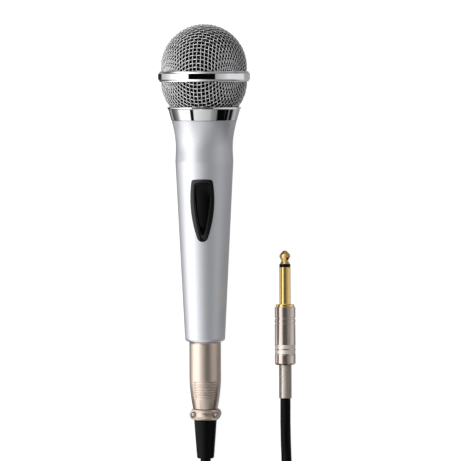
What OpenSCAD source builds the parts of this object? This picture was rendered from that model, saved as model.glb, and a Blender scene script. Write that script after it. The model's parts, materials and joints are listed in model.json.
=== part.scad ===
// Handheld karaoke microphone with a thumb switch, a detachable cord and a phone plug on the cord's end.
// It lies on z = 0 with its head towards +Y and its switch on top. The microphone's own pieces are drawn
// about its axis, where z is the distance from the chrome band, positive towards the head, and the switch
// faces -y. on_axis() then lays them down.

/* [Head] */
// Radius of the wire head
head_r = 24.2; // [23.8:0.1:24.6]
// Radius of the raised face round the chrome band
band_r = 25.8; // [25.5:0.1:26.2]
// Height of the chrome band along the axis
band_h = 5.8; // [5:0.1:6.5]
// Distance from the band to the centre of the upper half of the head
upper_lift = 5.3; // [5:0.1:6]
// Distance from the band down to the centre of the lower half of the head
lower_drop = 2.4; // [2:0.1:2.8]
// Thickness of the woven wire wall
wire_wall = 1.3; // [1:0.1:1.5]
// Thickness of the foam liner
foam_t = 3; // [2:0.5:3.5]
// Distance from the band down to the top of the chrome collar
collar_d = 17.1; // [16.8:0.1:17.4]
// Radius of the collar at its top
collar_r = 20.6; // [20.4:0.1:21]

/* [Handle] */
// Distance from the band down to the top of the handle
neck_d = 24.8; // [24.5:0.1:25]
// Radius of the handle at its top
neck_r = 18.3; // [18:0.1:18.5]
// Distance from the band down to the narrowest part of the neck
waist_d = 39.5; // [38:0.5:41]
// Radius of the narrowest part of the neck
waist_r = 16; // [15.9:0.1:16.1]
// Distance from the band down to the crease where the straight taper begins
crease_d = 47.5; // [46:0.5:49]
// Radius at the crease
crease_r = 16.3; // [16.2:0.1:16.4]
// Radius at the foot of the taper
tail_r = 11.3; // [11.2:0.1:11.5]
// Distance from the band down to the handle's end
tail_d = 149.1; // [148.5:0.1:149.5]
// Radius of the rounded edge at the handle's end
tail_edge = 1.8; // [1:0.1:1.8]

/* [Switch] */
// Distance from the band down to the widest part of the switch bezel
switch_d = 68.2; // [67:0.1:69]
// Width of the switch bezel
bezel_w = 13.5; // [13.2:0.1:13.8]
// Width of the thumb slider
slider_w = 9.2; // [9:0.1:9.3]
// Travel of the thumb slider
switch_travel = 2.5; // [2:0.1:2.6]

/* [Cord connector] */
// Radius of the connector's body
shell_r = 8.9; // [8.8:0.05:9]
// Radius of the nose that plugs into the handle
nose_r = 7.95; // [7.94:0.01:7.98]
// Radial clearance between the nose and its socket
nose_gap = 0.06; // [0.03:0.01:0.08]
// Distance that the nose reaches into the handle
nose_l = 17.5; // [16:0.5:18]
// Distance from the band down to the start of the clamp
clamp_d = 187; // [186.5:0.1:187.5]
// Travel of the latch button
latch_travel = 1; // [0.8:0.1:1.2]
// Distance from the band down to the end of the rubber boot
boot_d = 215.5; // [215:0.1:216]
// Radius of the boot where it leaves the clamp
boot_r = 6.4; // [6.3:0.05:6.45]
// Radius of the boot's end
boot_end_r = 4.8; // [4.6:0.1:4.8]

/* [Cord and phone plug] */
// Diameter of the cord
cord_w = 5.8; // [5.6:0.1:5.8]
// Radius of the plug's sleeve
sleeve_r = 3.175; // [3.15:0.005:3.175]
// Length of the plug from its flange to its tip
plug_l = 30.5; // [30.3:0.1:30.6]
// Radius of the plug's barrel
barrel_r = 5.85; // [5.8:0.05:5.85]
// Length of the plug's barrel
barrel_l = 32.8; // [32.5:0.1:33]
// Length of the spring guard
spring_l = 18.8; // [18.5:0.1:19]

/* [Coil] */
// Distance between neighbouring turns
turn_pitch = 6; // [5.9:0.05:6]
// Radius at the middle of the turns
coil_r = 39.5; // [39:0.5:39.5]
// Turns side by side
coil_columns = 5; // [5:1:5]
// Layers of turns
coil_layers = 4; // [4:1:4]

/* [Hidden] */
$fn = 96;

// The microphone rests on its band and on the end of its boot, which sets how far it tilts.
band_face = 1.7;                                       // half the height of the band's raised face
tilt = atan((band_r - boot_end_r) / (boot_d - band_face));
roll = -4.5;                                           // it has rolled a little to one side
head_z = band_r * cos(tilt) + band_face * sin(tilt);   // height of the axis at the band
head_top = upper_lift * cos(tilt) + head_r;
boot_foot = boot_d * cos(tilt) + boot_end_r * sin(tilt);
head_y = (boot_foot - head_top) / 2;                   // puts y = 0 midway along the microphone
taper = atan((crease_r - tail_r) / (tail_d - tail_edge - crease_d));
face_r = crease_r - (switch_d - crease_d) * tan(taper);  // radius of the handle at the switch

mount_top = -16;         // top of the capsule's rubber mount

// Layers of the switch, measured inwards from the handle's face
bezel_floor = 2.9;
bezel_back = 3.7;
can_top = 6.5;
can_h = 5;
can_half = 9.5;
switch_mid = -4.25;      // middle of the switch, along the face
lever_at = -3;           // where the lever stands at rest
screw_at = [7, -15.5];   // the switch's two screws

socket_r = nose_r + nose_gap;
shell_d = tail_d + 0.15;                // the connector's shoulder
nose_d = tail_d - nose_l;               // the tip of its nose
insert_d = nose_d - 1;                  // the face of the handle's own insert
straight_d = 170;                       // where the connector's body starts to narrow
shell_end_r = 7;
clamp_l = 6.8;
ear_x = 5.75;
ear_r = 3;
clamp_screw_x = 6.3;
contact_at = [[-3.96, 0], [3.96, 0], [0, -3.96]];
contact_r = 1.19;
latch_floor = 2.6;                      // the flat that the latch and its spring stand on

// The phone plug lies on its barrel beside the microphone.
plug_x = 45.3;
flange_y = -35;
barrel_y = flange_y - 1.5;
spring_y = barrel_y - barrel_l;
spring_end_y = spring_y - spring_l;

// The coil lies behind the microphone. Each free end of the cord reaches it along its own route.
coil_at = [22.5, -198];
cord_r = cord_w / 2;
ring_half = (coil_columns - 1) / 2 * turn_pitch + cord_r;
ring_h = (coil_layers - 1) * turn_pitch + cord_w;
tie_t = 1.1;
tie_deg = 14;
tie_at = 263;
boot_end = [0, head_y - boot_d * cos(tilt), head_z - boot_d * sin(tilt)];
mic_route = [
    boot_end, [0, -124.5, 4.4], [0, -128.5, 3.8], [0, -132.5, 3.3], [-0.1, -136.5, 3], [-0.6, -140.3, 2.9],
    [-2, -144.3, 2.9], [-4.2, -148.2, 2.9], [-7, -151.9, 2.9], [-10.4, -156.3, 2.9], [-14, -160.9, 2.9],
    [-17.8, -165.8, 2.9]];
plug_route = [
    [plug_x, spring_end_y, barrel_r], [plug_x, -90.5, 5.7], [plug_x, -96, 4.6], [plug_x, -101.5, 3.4],
    [45.4, -107, 2.9], [45.5, -113.5, 2.9], [45.7, -119.5, 3.5], [45.8, -125, 5.2], [45.8, -130.5, 7.7],
    [46.2, -135.7, 10.6], [47.3, -140.7, 13.7], [49.3, -145.8, 16.7], [52.1, -150.5, 19], [54.9, -154.6, 20.4],
    [57.8, -158.7, 20.9], [61.3, -163.6, 20.9], [64.5, -168.2, 20.9]];

// ---- Helpers ----

module on_axis() {
    translate([0, head_y, head_z]) rotate([tilt - 90, 0, 0]) rotate([0, 0, roll]) children();
}

// On the handle's tapered face at the switch: z runs along the face and -y points out of it.
module on_switch() {
    on_axis() translate([0, -face_r, -switch_d]) rotate([taper, 0, 0]) children();
}

// Along the phone plug: z runs from its flange to its tip.
module on_plug() {
    translate([plug_x, flange_y, barrel_r]) rotate([-90, 0, 0]) children();
}

module turned(points) {
    rotate_extrude() polygon(points);
}

module ring(r_out, r_in, low, high) {
    rotate_extrude() translate([r_in, low]) square([r_out - r_in, high - low]);
}

module rod(r, low, high) {
    translate([0, 0, low]) cylinder(h = high - low, r = r);
}

// A block given by its lowest and highest corners
module block(low, high) {
    translate(low) cube(high - low);
}

// A flat outline in the switch's own face, from depth y0 to depth y1
module slab(points, y0, y1) {
    translate([0, y1, 0]) rotate([90, 0, 0]) linear_extrude(y1 - y0) polygon(points);
}

// The handle's straight taper, grown by an amount
module taper_body(grow) {
    translate([0, 0, tail_edge - tail_d])
        cylinder(h = tail_d - tail_edge - crease_d, r1 = tail_r + grow, r2 = crease_r + grow);
}

// A part of a spherical shell, from height low to height high
module dome(centre, r_out, r_in, low, high) {
    intersection() {
        translate([0, 0, centre]) difference() {
            sphere(r_out);
            sphere(r_in);
        }
        rod(r_out + 5, low, high);
    }
}

// The outline of a teardrop pod. w is its half width at z = peak, bend and power curve its sides, up is its
// top, foot is where its sides meet the round end, and stretch lengthens it downwards.
function pod_side(p, z) = p[0] - p[1] * pow(abs(z - p[3]), p[2]);
function pod_slope(p, z) = p[1] * p[2] * pow(abs(z - p[3]), p[2] - 1);
function pod_half(p, grow, stretch) =
    let (w = pod_side(p, p[4] - p[6]), foot_w = pod_side(p, p[5]), m = pod_slope(p, p[5]),
         end_r = foot_w * sqrt(1 + m * m), end_z = p[5] + m * foot_w)
    concat(
        [[0, p[4] + 0.25 + grow]],
        [for (a = [90:-22.5:0]) [w - p[6] + (p[6] + grow) * cos(a), p[4] - p[6] + (p[6] + grow) * sin(a)]],
        [for (i = [1:4]) let (z = p[4] - p[6] + (p[3] - p[4] + p[6]) * i / 4) [pod_side(p, z) + grow, z]],
        [for (i = [0:8]) let (z = p[3] + (p[5] - p[3]) * i / 8) [pod_side(p, z) + grow, z - stretch - (i > 0 ? 0 : 0.01)]],
        [for (i = [1:5]) let (a = -atan(m) - (90 - atan(m)) * i / 5)
            [(end_r + grow) * cos(a), end_z - stretch + (end_r + grow) * sin(a)]]);
function pod(p, grow = 0, stretch = 0) =
    let (half = pod_half(p, grow, stretch), n = len(half))
    concat(half, [for (i = [n - 2:-1:1]) [-half[i][0], half[i][1]]]);
bezel_pod = [bezel_w / 2, 0.0078, 2, 0, 10.8, -21.8, 1.6];
slider_pod = [slider_w / 2, 0.0242, 1.6, 3, 9, -19.5, 1.9];
pad_pod = [3.5, 0.02, 1.5, 0, 2.2, -13, 1.4];

// A round tube swept along points, as one closed solid
function unit(v) = v / norm(v);
function smooth(p, i, t) =
    let (a = p[max(i - 1, 0)], b = p[i], c = p[i + 1], d = p[min(i + 2, len(p) - 1)])
    0.5 * (2 * b + (c - a) * t + (2 * a - 5 * b + 4 * c - d) * t * t + (3 * b - a - 3 * c + d) * t * t * t);
function smoothed(p, n) = concat(
    [for (i = [0:len(p) - 2], k = [0:n - 1]) smooth(p, i, k / n)], [p[len(p) - 1]]);
function heading(p, i) = unit(p[min(i + 1, len(p) - 1)] - p[max(i - 1, 0)]);

module swept(p, r, sides, up = [0, 0, 1]) {
    n = len(p);
    points = [for (i = [0:n - 1]) let (h = heading(p, i), s = unit(cross(h, up)), u = cross(s, h))
        for (k = [0:sides - 1]) let (a = 360 * (k + 0.5) / sides) p[i] + r * (cos(a) * s + sin(a) * u)];
    walls = [for (i = [0:n - 2], k = [0:sides - 1], half = [0, 1]) let (j = (k + 1) % sides)
        half == 0 ? [i * sides + k, i * sides + j, (i + 1) * sides + j]
                  : [i * sides + k, (i + 1) * sides + j, (i + 1) * sides + k]];
    caps = [[for (k = [sides - 1:-1:0]) k], [for (k = [0:sides - 1]) (n - 1) * sides + k]];
    polyhedron(points = points, faces = concat(walls, caps), convexity = 6);
}

// ---- Head ----

module grille_upper() {
    color("silver") on_axis() dome(upper_lift, head_r, head_r - wire_wall, band_h / 2, upper_lift + head_r);
}

module grille_lower() {
    color("silver") on_axis() dome(-lower_drop, head_r + 0.1, head_r + 0.1 - wire_wall, -collar_d - 1, -band_h / 2);
}

module grille_band() {
    lip = band_r - 0.5;
    inner = head_r - wire_wall;
    half = band_h / 2;
    color("gainsboro") on_axis() turned([
        [inner, -half], [lip - 0.3, -half], [lip, -half + 0.3], [lip, -band_face], [band_r, -band_face],
        [band_r, band_face], [lip, band_face], [lip, half - 0.3], [lip - 0.3, half], [inner, half]]);
}

module grille_collar() {
    thread_r = 15;
    color("gainsboro") on_axis() turned([
        [19.6, -collar_d], [collar_r - 0.3, -collar_d], [collar_r, -collar_d - 0.3], [collar_r, -collar_d - 0.9],
        [collar_r - 0.3, -collar_d - 1.2], [neck_r + 0.15, -neck_d + 0.4], [neck_r - 0.2, -neck_d + 0.1],
        [neck_r - 0.2, -neck_d], [thread_r, -neck_d], [thread_r, -neck_d - 6.4], [thread_r - 1.2, -neck_d - 6.4],
        [thread_r - 1.2, -neck_d + 1.2], [16.5, -neck_d + 1.2], [16.5, -collar_d - 1], [19.6, -collar_d - 1]]);
}

module foam_upper() {
    r = head_r - wire_wall;
    color("black") on_axis() dome(upper_lift, r, r - foam_t, band_h / 2, upper_lift + head_r);
}

module foam_lower() {
    r = head_r + 0.1 - wire_wall;
    color("black") on_axis() dome(-lower_drop, r, r - foam_t, mount_top + 0.1, -band_h / 2);
}

module capsule_cup() {
    color("dimgray") on_axis() turned([
        [4, -20.6], [13.5, -20.6], [13.5, 8], [12.3, 8], [12.3, -10.8], [8, -10.8], [8, -12], [12.3, -12],
        [12.3, -19.4], [4, -19.4]]);
}

module capsule_cover() {
    color("darkslategray") on_axis() difference() {
        union() {
            rod(14.2, 8, 9.6);
            ring(12.3, 11, 4.4, 8);
        }
        rod(1.7, 7, 11);
        for (i = [0:7]) rotate(45 * i) translate([6.5, 0, 0]) rod(1.7, 7, 11);
    }
}

module diaphragm() {
    color("lightyellow") on_axis() turned([
        [0, 6.2], [3, 5.9], [6.3, 4.6], [6.9, 4.6], [8.5, 5.2], [10.5, 4.4], [12.3, 4.4], [12.3, 4.1],
        [10.4, 4.1], [8.5, 4.9], [7, 4.3], [6.2, 4.3], [2.9, 5.6], [0, 5.9]]);
}

module voice_coil() {
    color("peru") on_axis() ring(6.6, 6.1, -0.4, 4.3);
}

module pole_cap() {
    color("lightgray") on_axis() rod(5.4, -1, 2.4);
}

module magnet() {
    color("slategray") on_axis() rod(5, -8, -1);
}

module magnet_yoke() {
    color("lightgray") on_axis() turned([
        [0, -10.8], [12.3, -10.8], [12.3, 4.1], [10.8, 4.1], [10.8, 2.6], [7.3, 2.6], [7.3, -8], [0, -8]]);
}

module shock_mount() {
    color("black") on_axis() turned([
        [11.5, -23.6], [16.4, -23.6], [16.4, mount_top], [13.5, mount_top], [13.5, -20.6], [11.5, -20.6]]);
}

// Two thin leads from the capsule down to the switch
module capsule_leads() {
    route = [[0, 0, -19.3], [0, 0.5, -26], [0, 2.5, -36], [0, 5, -48], [0, 5.5, -58], [0, 3.6, -64.5], [0, 0.7, -67.4]];
    color("firebrick") on_axis() for (x = [-1.4, 1.4])
        swept([for (p = smoothed(route, 2)) p + [x, 0, 0]], 0.6, 8, [1, 0, 0]);
}

// ---- Handle ----

function neck(d) = waist_r + (neck_r - waist_r) * pow((waist_d - d) / (waist_d - neck_d), 1.8);
function swell(d) = waist_r + (crease_r - waist_r) * (1 - cos(180 * (d - waist_d) / (crease_d - waist_d))) / 2;

module handle() {
    outside = concat(
        [for (i = [0:9]) let (d = neck_d + (waist_d - neck_d) * i / 9) [neck(d), -d]],
        [for (i = [1:5]) let (d = waist_d + (crease_d - waist_d) * i / 5) [swell(d), -d]],
        [for (a = [0:18:90]) [tail_r - tail_edge * (1 - cos(a)), tail_edge * (1 - sin(a)) - tail_d]]);
    inside = [
        [socket_r, -tail_d], [socket_r, -insert_d + 6], [7, -insert_d + 6], [7, -insert_d + 8.5], [9.2, -insert_d + 10.5],
        [13.8, -52], [13.8, -36], [15, -33], [15, -neck_d]];
    color("silver") difference() {
        on_axis() turned(concat(outside, inside));
        on_switch() slab(pod(bezel_pod, 0.05), -3, 6);
        on_axis() translate([0, 0, -insert_d + 3]) rotate([-90, 0, 0]) rod(1.25, 7, 16);
    }
}

module switch_bezel() {
    color("#101012") on_switch() difference() {
        union() {
            intersection() {
                slab(pod(bezel_pod), -2, bezel_back);
                translate([0, face_r, 0]) rotate([-taper, 0, 0]) translate([0, 0, switch_d]) taper_body(0.35);
            }
            for (z = screw_at) translate([0, 0, z]) rotate([-90, 0, 0]) rod(1.7, bezel_back - 0.1, can_top);
        }
        slab(pod(slider_pod, 0.1, switch_travel), -3, bezel_floor);
        block([-1.3, 0, lever_at - 1.6 - switch_travel], [1.3, 5, lever_at + 1.6]);
        for (z = screw_at) translate([0, 0, z]) rotate([-90, 0, 0]) rod(0.75, bezel_back, can_top + 1);
    }
}

// Slider on the switch's face, with a shallow dish for the thumb
module thumb_slider() {
    dish_r = 26;
    color("#0c0c0e") on_switch() difference() {
        intersection() {
            slab(pod(slider_pod), -2, bezel_floor - 0.1);
            translate([0, face_r, 0]) rotate([-taper, 0, 0]) translate([0, 0, switch_d]) taper_body(0.5);
        }
        intersection() {
            slab(pod(pad_pod), -3, 3);
            translate([0, 0.7 - dish_r, -5.6]) rotate([0, 90, 0]) cylinder(h = 12, r = dish_r, center = true);
        }
        block([-1.2, 1.3, lever_at - 1.5], [1.2, 5, lever_at + 1.5]);
    }
}

module switch_actuator() {
    color("ivory") on_switch() {
        block([-1.2, 1.3, lever_at - 1.5], [1.2, can_top + 0.9, lever_at + 1.5]);
        block([-2.4, can_top + 0.7, lever_at - 3], [2.4, can_top + 4, lever_at + 3]);
    }
}

module switch_can() {
    low = switch_mid - can_half;
    high = switch_mid + can_half;
    color("silver") on_switch() difference() {
        union() {
            block([-3.5, can_top, screw_at[1] - 2], [3.5, can_top + 0.5, screw_at[0] + 2]);
            block([-3.5, can_top, low], [3.5, can_top + can_h, high]);
        }
        block([-3, can_top + 0.5, low + 0.5], [3, can_top + can_h + 1, high - 0.5]);
        block([-1.3, can_top - 1, lever_at - 1.6 - switch_travel], [1.3, can_top + 1, lever_at + 1.6]);
        for (z = screw_at) translate([0, 0, z]) rotate([-90, 0, 0]) rod(0.85, can_top - 1, can_top + 2);
    }
}

module switch_base() {
    back = can_top + can_h;
    color("saddlebrown") on_switch() difference() {
        block([-3.5, back, switch_mid - can_half], [3.5, back + 1.2, switch_mid + can_half]);
        for (k = [-1:1]) block([-0.5, back - 1, switch_mid + 5 * k - 0.2], [0.5, back + 2, switch_mid + 5 * k + 0.2]);
    }
}

module switch_terminals() {
    back = can_top + can_h;
    color("gold") on_switch() for (k = [-1:1])
        block([-0.5, back - 0.6, switch_mid + 5 * k - 0.2], [0.5, back + 3.2, switch_mid + 5 * k + 0.2]);
}

module switch_screws() {
    color("silver") on_switch() for (z = screw_at) translate([0, 0, z]) rotate([-90, 0, 0]) {
        rod(0.75, bezel_back + 0.3, can_top + 0.6);
        difference() {
            rod(1.5, can_top + 0.5, can_top + 1.6);
            block([-1.6, -0.2, can_top + 1.1], [1.6, 0.2, can_top + 2]);
        }
    }
}

// ---- Socket in the handle's tail ----

module socket_insert() {
    color("#1a1a1a") on_axis() difference() {
        rod(socket_r, -insert_d, -insert_d + 6);
        for (p = contact_at) translate(p) rod(contact_r, -insert_d - 1, -insert_d + 7);
        translate([0, 0, -insert_d + 3]) rotate([-90, 0, 0]) rod(1.25, 6.6, 9);
    }
}

module socket_pins() {
    color("gainsboro") on_axis() for (p = contact_at) translate(p) {
        rod(contact_r, -insert_d - 13, -insert_d + 8.4);
        translate([0, 0, -insert_d - 13.6]) cylinder(h = 0.6, r1 = 0.6, r2 = contact_r);
    }
}

module socket_screw() {
    color("dimgray") on_axis() translate([0, 0, -insert_d + 3]) rotate([-90, 0, 0]) difference() {
        rod(1.25, 6.6, 11.4);
        cylinder(h = 30, r = 0.65, $fn = 6);
        rod(2, 6, 10);
    }
}

// Two thin leads from the switch down to the tail socket
module socket_leads() {
    color("steelblue") on_axis() for (i = [0, 1]) {
        side = i * 2 - 1;
        route = [[side * 0.4, 0.7, -76.9 + 5 * i], [side * 2.5, 2.8, -82], [side * 3.8, 4, -92],
                 [side * 4, 3, -104], [side * 4, 0.8, -114], [side * 3.96, 0, -insert_d + 8.5]];
        swept(smoothed(route, 2), 0.6, 8, [0, 1, 0.2]);
    }
}

// ---- Cord connector ----

module plug_shell() {
    taper_l = clamp_d - straight_d;
    outside = concat(
        [[nose_r - 0.4, -nose_d], [nose_r, -nose_d - 0.4], [nose_r, -shell_d], [shell_r - 0.2, -shell_d],
         [shell_r, -shell_d - 0.2]],
        [for (i = [0:8]) [shell_r - (shell_r - shell_end_r) * pow(i / 8, 2), -straight_d - taper_l * i / 8]]);
    inside = [[4.6, -clamp_d], [4.6, -178], [6.6, -172], [7.2, -166], [7.2, -nose_d]];
    groove_r = 0.35;
    color("#c9b7a6") on_axis() difference() {
        union() {
            turned(concat(outside, inside));
            difference() {
                clamp_outline(0, 5.9);
                rod(4.6, -clamp_d - clamp_l - 1, -clamp_d + 1);
            }
        }
        for (i = [0:6]) groove(-171.9 - 1.47 * i, groove_r);
        block([-2.05, 6, -shell_d - 8.05], [2.05, 12, -shell_d - 2.95]);
        translate([0, 0, -164]) rotate([-90, 0, 0]) rod(1, 6, 10);
        for (x = [-clamp_screw_x, clamp_screw_x]) translate([x, 0, -clamp_d - clamp_l / 2]) rotate([-90, 0, 0])
            rod(0.9, -1, 4.5);
    }
}

// One grip groove, cut across the front only
module groove(z, r) {
    body_r = shell_r - (shell_r - shell_end_r) * pow(max(-z - straight_d, 0) / (clamp_d - straight_d), 2);
    rotate(-90 - 47) rotate_extrude(angle = 94) translate([body_r + 0.05, z]) circle(r, $fn = 24);
}

// The clamp's outline, with a round ear at each end, from depth y0 to depth y1
module clamp_outline(y0, y1) {
    z = -clamp_d - clamp_l / 2;
    block([-ear_x, y0, z - ear_r], [ear_x, y1, z + ear_r]);
    for (x = [-ear_x, ear_x]) translate([x, 0, z]) rotate([-90, 0, 0]) rod(ear_r, y0, y1);
    intersection() {
        rod(shell_end_r - 0.6, z - clamp_l / 2, -clamp_d);
        block([-10, y0, z - clamp_l], [10, y1 + 2, z + clamp_l]);
    }
}

module clamp_saddle() {
    z = -clamp_d - clamp_l / 2;
    color("#cdbbaa") on_axis() difference() {
        union() {
            block([-ear_x, -5.4, z - ear_r], [ear_x, 0, z + ear_r]);
            for (x = [-ear_x, ear_x]) translate([x, 0, z]) rotate([-90, 0, 0]) rod(ear_r, -5.4, 0);
            intersection() {
                rod(6.7, z - clamp_l / 2, -clamp_d - 0.1);
                block([-10, -8, z - clamp_l], [10, 0, z + clamp_l]);
            }
        }
        rod(4.6, -clamp_d - clamp_l - 1, -clamp_d + 1);
        for (x = [-clamp_screw_x, clamp_screw_x]) translate([x, 0, z]) rotate([-90, 0, 0]) {
            rod(1, -6, 1);
            rod(1.6, -7, -4);
        }
    }
}

module clamp_screws() {
    z = -clamp_d - clamp_l / 2;
    color("#b9a895") on_axis() for (x = [-clamp_screw_x, clamp_screw_x])
        translate([x, 0, z]) rotate([-90, 0, 0]) {
            rod(0.9, -4, 4);
            difference() {
                rod(1.5, -5.2, -4);
                block([-1, -0.25, -6], [1, 0.25, -4.7]);
                block([-0.25, -1, -6], [0.25, 1, -4.7]);
            }
        }
}

module plug_insert() {
    end = -shell_d - 16;
    color("#1a1a1a") on_axis() difference() {
        rod(7.2, end, -nose_d - 0.4);
        for (p = contact_at) translate(p) rod(1.8, end - 1, -nose_d + 1);
        block([-2.2, latch_floor, -shell_d - 9.2], [2.2, 9, -nose_d + 1]);
    }
}

module plug_contacts() {
    color("gold") on_axis() for (p = contact_at) translate(p) difference() {
        rod(1.8, -shell_d - 17.5, -nose_d - 1);
        rod(1.25, -shell_d + 1, -nose_d);
    }
}

module plug_insert_screw() {
    color("#b9a895") on_axis() translate([0, 0, -164]) rotate([-90, 0, 0]) difference() {
        rod(1, 7.25, shell_r - 0.15);
        block([-1.2, -0.2, shell_r - 0.5], [1.2, 0.2, 12]);
    }
}

// Push button on the underside, with an arm that reaches forward under the nose
module latch_button() {
    color("#b9a895") on_axis() {
        intersection() {
            block([-2, 6, -shell_d - 8], [2, 12, -shell_d - 3]);
            rod(shell_r + 0.7, -shell_d - 9, -shell_d - 2);
        }
        block([-1.5, 5.9, -shell_d - 7], [1.5, 6.9, -nose_d - 5]);
    }
}

module latch_spring() {
    base = -shell_d - 5.5;
    turns = 3;
    step = 24;
    wire = 0.25;
    low = latch_floor + wire + 0.1;
    high = 5.9 - wire - 0.1;
    path = [for (a = [0:step:360 * turns]) [cos(a), low + (high - low) * a / (360 * turns), sin(a)]];
    color("silver") on_axis() translate([0, 0, base]) swept(path, wire, 8, [0, 1, 0]);
}

module cable_boot() {
    start = clamp_d + clamp_l;
    color("#0b0b0c") on_axis() turned([
        [0, -boot_d], [boot_end_r - 0.5, -boot_d], [boot_end_r, -boot_d + 0.5],
        [boot_r - 0.55, -start - 8], [boot_r, -start], [4.6, -start], [4.6, -180], [0, -180]]);
}

// ---- Cord ----

module cord_mic_end() {
    color("#0d0d0f") swept(mic_route, cord_r, 10);
}

module cord_plug_end() {
    color("#0d0d0f") swept(plug_route, cord_r, 10);
}

// The coil's outer shape, lifted where the tie passes under it
module cord_coil() {
    color("#0d0d0f") translate(coil_at) difference() {
        ring(coil_r + ring_half, coil_r - ring_half, 0, ring_h);
        rotate(tie_at - tie_deg / 2) rotate_extrude(angle = tie_deg)
            translate([coil_r - ring_half - 1, -1]) square([2 * ring_half + 2, 1 + tie_t]);
    }
}

module cord_tie() {
    color("#1c1c1e") translate(coil_at) rotate(tie_at - tie_deg / 2) rotate_extrude(angle = tie_deg) difference() {
        translate([coil_r - ring_half - tie_t, 0]) square([2 * (ring_half + tie_t), ring_h + tie_t]);
        translate([coil_r - ring_half, tie_t]) square([2 * ring_half, ring_h - tie_t]);
    }
}

// ---- Phone plug ----

module jack_tip() {
    color("goldenrod") on_plug() turned([
        [0, 18.2], [1.6, 18.2], [1.6, 22.8], [2.95, 22.8], [2.1, 24.4], [2.1, 24.9], [2.9, 26.6], [3.1, 27.4], [2.9, 28.4],
        [1.1, 30.2], [0.8, plug_l], [0, plug_l]]);
}

module jack_insulator() {
    color("#141416") on_plug() ring(sleeve_r, 1.6, 21, 22.8);
}

module jack_sleeve() {
    color("goldenrod") on_plug() {
        difference() {
            rod(sleeve_r, 0, 21);
            rod(1.6, 18, 22);
        }
        rod(barrel_r - 0.65, -1.5, 0);
    }
}

module jack_barrel() {
    groove_w = 0.8;
    color("silver") on_plug() difference() {
        turned([
            [4.6, -1.5], [barrel_r, -1.5], [barrel_r, -1.5 - barrel_l + 0.9], [barrel_r - 0.9, -1.5 - barrel_l],
            [3.65, -1.5 - barrel_l], [3.65, -31.3], [4.6, -30.8]]);
        for (z = [-8, -10.9]) ring(barrel_r + 1, barrel_r - 0.35, z - groove_w / 2, z + groove_w / 2);
    }
}

module jack_liner() {
    color("ivory") on_plug() ring(4.6, 4.1, -29, -3);
}

module jack_lug() {
    color("goldenrod") on_plug() {
        rod(2.2, -3, -1.5);
        block([-1.5, -0.3, -14], [1.5, 0.3, -2.9]);
    }
}

module jack_spring() {
    color("silver") on_plug() ring(3.6, cord_r, -1.5 - barrel_l - spring_l, -31.4);
}

grille_upper();
grille_lower();
grille_band();
grille_collar();
foam_upper();
foam_lower();
capsule_cup();
capsule_cover();
diaphragm();
voice_coil();
pole_cap();
magnet();
magnet_yoke();
shock_mount();
capsule_leads();
handle();
switch_bezel();
switch_can();
switch_base();
switch_terminals();
switch_screws();
socket_insert();
socket_pins();
socket_screw();
socket_leads();
thumb_slider();
switch_actuator();
plug_shell();
plug_insert();
plug_contacts();
plug_insert_screw();
latch_button();
latch_spring();
clamp_saddle();
clamp_screws();
cable_boot();
cord_mic_end();
cord_coil();
cord_plug_end();
cord_tie();
jack_tip();
jack_insulator();
jack_sleeve();
jack_barrel();
jack_spring();
jack_liner();
jack_lug();
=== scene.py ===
"""Looks of the handheld microphone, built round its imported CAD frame.

Lengths are millimetres where a piece is drawn, and metres once it is placed. The microphone's own pieces
are drawn about its axis: z is the distance from the chrome band, positive towards the head, and the switch
faces -y. The phone plug is drawn about its own axis: z is the distance from its flange, positive towards
its tip.
"""
import json
import math

import bmesh
import bpy
import numpy as np
from mathutils import Matrix, Vector


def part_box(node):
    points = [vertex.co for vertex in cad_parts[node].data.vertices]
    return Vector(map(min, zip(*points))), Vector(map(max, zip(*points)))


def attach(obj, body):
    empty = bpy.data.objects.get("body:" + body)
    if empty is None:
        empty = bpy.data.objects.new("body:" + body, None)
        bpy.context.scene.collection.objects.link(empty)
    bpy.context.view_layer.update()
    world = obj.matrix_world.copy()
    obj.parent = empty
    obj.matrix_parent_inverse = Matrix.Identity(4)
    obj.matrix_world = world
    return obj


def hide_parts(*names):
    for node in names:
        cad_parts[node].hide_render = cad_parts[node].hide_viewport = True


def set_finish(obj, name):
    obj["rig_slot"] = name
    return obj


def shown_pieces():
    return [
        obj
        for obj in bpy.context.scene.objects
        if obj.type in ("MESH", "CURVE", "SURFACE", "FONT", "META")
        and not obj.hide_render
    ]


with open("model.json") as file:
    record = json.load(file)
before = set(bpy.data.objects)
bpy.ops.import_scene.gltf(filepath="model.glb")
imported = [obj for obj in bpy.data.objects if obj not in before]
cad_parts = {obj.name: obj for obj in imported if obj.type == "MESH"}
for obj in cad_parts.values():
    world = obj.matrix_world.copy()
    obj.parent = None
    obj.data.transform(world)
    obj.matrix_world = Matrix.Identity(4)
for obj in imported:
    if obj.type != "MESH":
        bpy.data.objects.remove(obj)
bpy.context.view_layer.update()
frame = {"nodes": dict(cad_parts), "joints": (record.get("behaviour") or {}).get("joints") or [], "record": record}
MM = 0.001


# ---- Places, from the frame ----

def axis_of(name):
    return Vector(next(j["axis"] for j in frame["joints"] if j["name"] == name)).normalized()


def middle(node):
    low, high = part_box(node)
    return (low + high) / 2


def placing(x, y, z, origin):
    turn = Matrix((x, y, z)).transposed().to_4x4()
    return Matrix.Translation(origin) @ turn @ Matrix.Scale(MM, 4)


head_way = -axis_of("connector_pull")
front_way = axis_of("latch_press")
MIC = placing((-front_way).cross(head_way), -front_way, head_way, middle("grille_band"))
FLANGE_T = 1.5
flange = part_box("jack_barrel")[1].y + FLANGE_T * MM
plug_mid = middle("jack_sleeve")
PLUG = placing(Vector((1, 0, 0)), Vector((0, 0, -1)), Vector((0, 1, 0)), (plug_mid.x, flange, plug_mid.z))
WORLD = Matrix.Scale(MM, 4)


# ---- Camera: nearly straight above, a little towards the tail ----

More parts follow.
